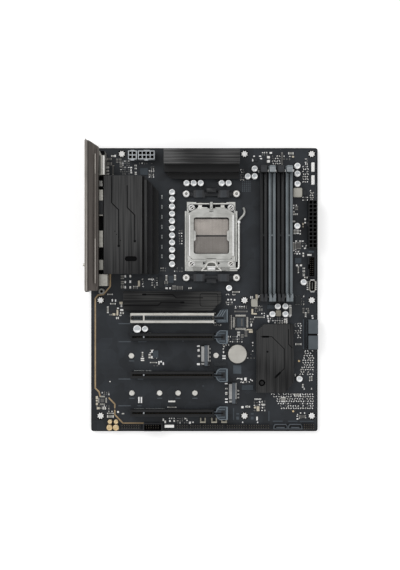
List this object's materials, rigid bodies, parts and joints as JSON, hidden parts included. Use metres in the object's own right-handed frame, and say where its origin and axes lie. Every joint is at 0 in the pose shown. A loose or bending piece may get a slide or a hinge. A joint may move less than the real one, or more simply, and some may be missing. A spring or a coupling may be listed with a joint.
{
  "type": "motherboard",
  "caption": "Full-size desktop motherboard with processor socket and hinged load plate, memory and card slots with latches, heatsinks and a rear port panel.",
  "frame": {"origin": "middle of the board's outline, in the plane where its ground pads seat on the case's standoffs", "axes": "+X from the rear port panel to the opposite edge, +Y along the board's long side towards the power connectors of the processor, +Z out of the component side"},
  "size_m": [0.2505, 0.3104, 0.0464],
  "materials": {
    "solder_mask": "dark blue-black satin solder mask",
    "contact_field": "fine gold-grey land-grid contact field in a dark moulding",
    "stamped_steel": "satin nickel-plated stamped steel",
    "screw_steel": "bright plated screw",
    "black_plastic": "black glass-filled moulding",
    "grey_plastic": "blue-grey moulding",
    "smoke_plastic": "smoke grey moulding",
    "anodised_aluminium": "black anodised, finely brushed along its length",
    "choke_ferrite": "pressed iron-powder choke",
    "panel_metal": "satin warm grey sheet metal",
    "cover_metal": "brushed dark bronze-grey sheet",
    "shell_steel": "satin nickel-plated connector shell",
    "capacitor_can": "bright drawn aluminium can",
    "cell_steel": "satin stainless steel cell"
  },
  "bodies": {
    "board": {"circuit_board": "solder_mask", "socket_housing": "contact_field", "socket_frame": "stamped_steel", "socket_backplate": "stamped_steel", "expansion_slot_1": "stamped_steel", "frame_screw_1": "screw_steel", "frame_screw_2": "screw_steel", "frame_screw_3": "screw_steel", "frame_screw_4": "screw_steel", "bracket_screw_1": "screw_steel", "bracket_screw_2": "screw_steel", "bracket_screw_3": "screw_steel", "bracket_screw_4": "screw_steel", "cooler_bracket_top": "black_plastic", "cooler_bracket_bottom": "black_plastic", "memory_slot_1": "black_plastic", "memory_slot_3": "black_plastic", "expansion_slot_2": "black_plastic", "expansion_slot_3": "black_plastic", "expansion_slot_4": "black_plastic", "main_power_24pin": "black_plastic", "battery_holder": "black_plastic", "m2_socket_upper": "black_plastic", "m2_socket_lower": "black_plastic", "usb3_header": "black_plastic", "chipset_package": "black_plastic", "memory_slot_2": "grey_plastic", "memory_slot_4": "grey_plastic", "cpu_power_4pin": "grey_plastic", "cpu_power_8pin": "grey_plastic", "sata_ports": "grey_plastic", "vrm_heatsink": "anodised_aluminium", "top_heatsink": "anodised_aluminium", "m2_heatsink": "anodised_aluminium", "chipset_heatsink": "anodised_aluminium", "choke_bank_left": "choke_ferrite", "choke_bank_top": "choke_ferrite", "io_shield": "panel_metal", "io_cover": "cover_metal", "display_ports": "shell_steel", "usb_ports": "shell_steel", "network_ports": "shell_steel", "wireless_module": "shell_steel", "audio_jacks": "shell_steel", "flash_switch": "shell_steel", "usbc_header": "shell_steel", "output_capacitors_left": "capacitor_can", "output_capacitors_top": "capacitor_can", "coin_cell": "cell_steel"},
    "load_plate": {"load_plate": "stamped_steel"},
    "load_lever": {"load_lever": "stamped_steel"},
    "memory_latch_1": {"memory_latch_1": "black_plastic"},
    "memory_latch_2": {"memory_latch_2": "grey_plastic"},
    "memory_latch_3": {"memory_latch_3": "black_plastic"},
    "memory_latch_4": {"memory_latch_4": "grey_plastic"},
    "slot_latch_1": {"slot_latch_1": "smoke_plastic"},
    "slot_latch_2": {"slot_latch_2": "smoke_plastic"},
    "slot_latch_3": {"slot_latch_3": "smoke_plastic"},
    "slot_latch_4": {"slot_latch_4": "smoke_plastic"},
    "flash_button": {"flash_button": "black_plastic"}
  },
  "joints": [
    {"name": "load_plate_hinge", "type": "hinge", "parent": "board", "child": "load_plate", "pos_m": [0.00743, 0.0894, 0.0054], "axis": [-1, 0, 0], "range_deg": [0, 110]},
    {"name": "load_lever_hinge", "type": "hinge", "parent": "board", "child": "load_lever", "pos_m": [0.00743, 0.0224, 0.0047], "axis": [1, 0, 0], "range_deg": [0, 130]},
    {"name": "memory_latch_1_hinge", "type": "hinge", "parent": "board", "child": "memory_latch_1", "pos_m": [0.06333, 0.1277, 0.0047], "axis": [-1, 0, 0], "range_deg": [0, 30]},
    {"name": "memory_latch_2_hinge", "type": "hinge", "parent": "board", "child": "memory_latch_2", "pos_m": [0.07247, 0.1277, 0.0047], "axis": [-1, 0, 0], "range_deg": [0, 30]},
    {"name": "memory_latch_3_hinge", "type": "hinge", "parent": "board", "child": "memory_latch_3", "pos_m": [0.08161, 0.1277, 0.0047], "axis": [-1, 0, 0], "range_deg": [0, 30]},
    {"name": "memory_latch_4_hinge", "type": "hinge", "parent": "board", "child": "memory_latch_4", "pos_m": [0.09075, 0.1277, 0.0047], "axis": [-1, 0, 0], "range_deg": [0, 30]},
    {"name": "slot_latch_1_hinge", "type": "hinge", "parent": "board", "child": "slot_latch_1", "pos_m": [0.01388, -0.0303, 0.0051], "axis": [0, 1, 0], "range_deg": [0, 25]},
    {"name": "slot_latch_2_hinge", "type": "hinge", "parent": "board", "child": "slot_latch_2", "pos_m": [0.01388, -0.05062, 0.0051], "axis": [0, 1, 0], "range_deg": [0, 25]},
    {"name": "slot_latch_3_hinge", "type": "hinge", "parent": "board", "child": "slot_latch_3", "pos_m": [0.01388, -0.09126, 0.0051], "axis": [0, 1, 0], "range_deg": [0, 25]},
    {"name": "slot_latch_4_hinge", "type": "hinge", "parent": "board", "child": "slot_latch_4", "pos_m": [0.01388, -0.1319, 0.0051], "axis": [0, 1, 0], "range_deg": [0, 25]},
    {"name": "flash_button_slide", "type": "slide", "parent": "board", "child": "flash_button", "axis": [1, 0, 0], "range_m": [0, 0.0008], "stiffness_N_per_m": 1500}
  ]
}
